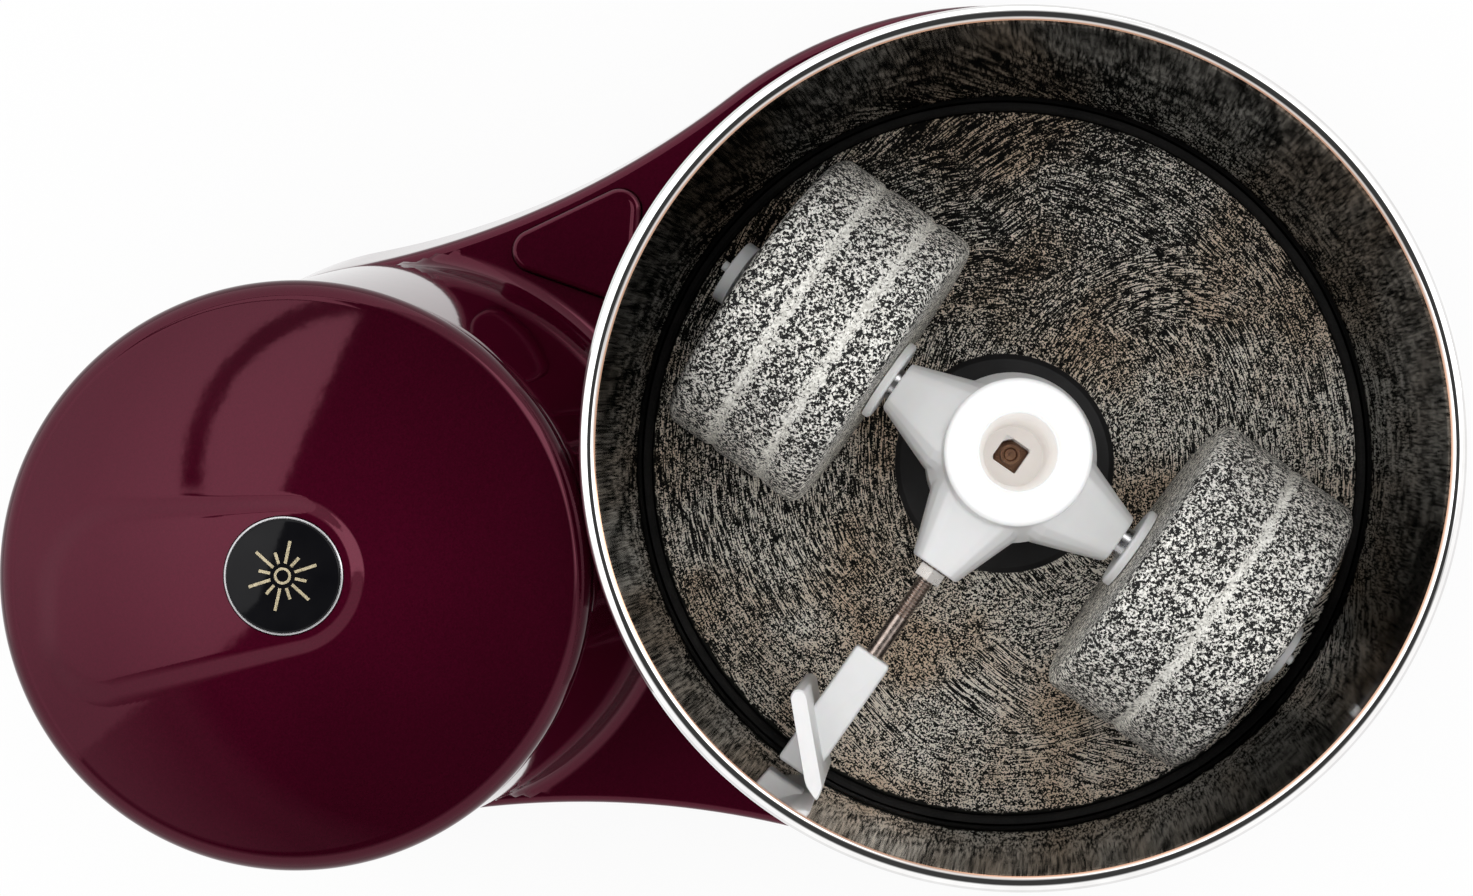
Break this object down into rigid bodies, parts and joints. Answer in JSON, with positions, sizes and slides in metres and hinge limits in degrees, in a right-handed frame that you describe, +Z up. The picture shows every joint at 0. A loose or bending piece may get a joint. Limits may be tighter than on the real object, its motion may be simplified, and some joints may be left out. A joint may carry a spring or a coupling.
{
  "type": "wet grinder",
  "caption": "Table top wet grinder: a lift-out steel drum with a granite floor turns under granite rollers and a scraper, driven by a belt from a motor tower on the same moulded base.",
  "frame": {"origin": "middle of the footprint's bounding box, on the table under the feet", "axes": "+X from the drum to the motor tower, +Z up, -Y towards the user"},
  "size_m": [0.452, 0.3002, 0.2188],
  "materials": {
    "cherry_plastic": "deep cherry gloss moulding",
    "mirror_steel": "polished stainless sheet",
    "steel": "plain turned steel",
    "lamination": "varnished lamination stack",
    "winding_copper": "varnished copper wire",
    "spindle_steel": "dulled steel",
    "alloy": "die cast, satin",
    "nylon": "white satin moulding",
    "black_plastic": "black satin moulding",
    "badge_gloss": "black gloss disc",
    "rubber": "black matt",
    "floor_granite": "dark granite, turned",
    "roller_granite": "light speckled granite",
    "grey_plastic": "grey moulding"
  },
  "bodies": {
    "base": {"body_shell": "cherry_plastic", "motor_cover": "cherry_plastic", "bottom_plate": "lamination", "foot_1": "rubber", "foot_2": "rubber", "foot_3": "rubber", "foot_4": "rubber", "bearing_bracket": "alloy", "spindle": "spindle_steel", "bearing_lower": "steel", "bearing_upper": "steel", "drive_belt": "rubber", "motor_mount": "alloy", "motor_bell_lower": "alloy", "motor_bell_upper": "alloy", "stator": "lamination", "winding_lower": "winding_copper", "winding_upper": "winding_copper", "motor_bolt_1": "steel", "motor_bolt_2": "steel", "motor_bolt_3": "steel", "motor_bolt_4": "steel", "capacitor": "grey_plastic", "badge": "badge_gloss", "badge_rim": "mirror_steel", "press_switch": "black_plastic", "press_bracket": "alloy", "press_spring": "steel", "switch_housing": "black_plastic", "cord_gland": "rubber", "terminal_block": "nylon", "supply_lead": "rubber", "motor_lead": "rubber", "switch_lead": "rubber"},
    "rotor": {"rotor_shaft": "steel", "rotor_core": "alloy", "motor_pulley": "steel", "cooling_fan": "black_plastic"},
    "turntable": {"driven_pulley": "alloy", "turntable": "alloy"},
    "drum": {"drum_shell": "mirror_steel", "base_stone": "floor_granite", "ring_seal": "rubber", "centre_tube": "mirror_steel", "centre_boss": "black_plastic", "drum_coupler": "black_plastic"},
    "holder": {"hub": "nylon", "roller_axle_left": "steel", "roller_axle_right": "steel", "roller_cap_left": "nylon", "roller_cap_right": "nylon", "scraper_rod": "steel", "scraper_nut": "steel", "scraper_paddle": "nylon"},
    "left_roller": {"roller_left": "roller_granite", "roller_bush_left": "nylon"},
    "right_roller": {"roller_right": "roller_granite", "roller_bush_right": "nylon"},
    "press_button": {"press_button": "cherry_plastic"},
    "power_rocker": {"switch_rocker": "black_plastic"}
  },
  "joints": [
    {"name": "drum_spin", "type": "hinge", "parent": "base", "child": "turntable", "pos_m": [-0.0755, 0.017, 0.05], "axis": [0, 0, 1], "continuous": true},
    {"name": "rotor_spin", "type": "hinge", "parent": "base", "child": "rotor", "pos_m": [0.127, 0.017, 0.1], "axis": [0, 0, 1], "continuous": true},
    {"name": "drum_lift", "type": "slide", "parent": "turntable", "child": "drum", "axis": [0, 0, 1], "range_m": [0, 0.07]},
    {"name": "holder_lift", "type": "slide", "parent": "base", "child": "holder", "axis": [0, 0, 1], "range_m": [0, 0.14]},
    {"name": "left_roller_spin", "type": "hinge", "parent": "holder", "child": "left_roller", "pos_m": [-0.02515, -0.03029, 0.1473], "axis": [0.7108, -0.7034, 0], "continuous": true},
    {"name": "right_roller_spin", "type": "hinge", "parent": "holder", "child": "right_roller", "pos_m": [-0.12417, 0.06769, 0.1473], "axis": [-0.7108, 0.7034, 0], "continuous": true},
    {"name": "press", "type": "slide", "parent": "base", "child": "press_button", "axis": [0, 0, -1], "range_m": [0, 0.003], "stiffness_N_per_m": 400, "springref_m": -0.002, "deforming": ["press_spring"]},
    {"name": "power_rock", "type": "hinge", "parent": "base", "child": "power_rocker", "pos_m": [0.2137, 0.011, 0.11995], "axis": [0, 1, 0], "range_deg": [0, 18]}
  ],
  "couplings": [
    {"joint": "rotor_spin", "follows": "drum_spin", "ratio": 9.2037},
    {"joint": "holder_lift", "follows": "drum_lift", "ratio": 2},
    {"joint": "left_roller_spin", "follows": "drum_spin", "ratio": 1.4692},
    {"joint": "right_roller_spin", "follows": "drum_spin", "ratio": 1.4947}
  ]
}
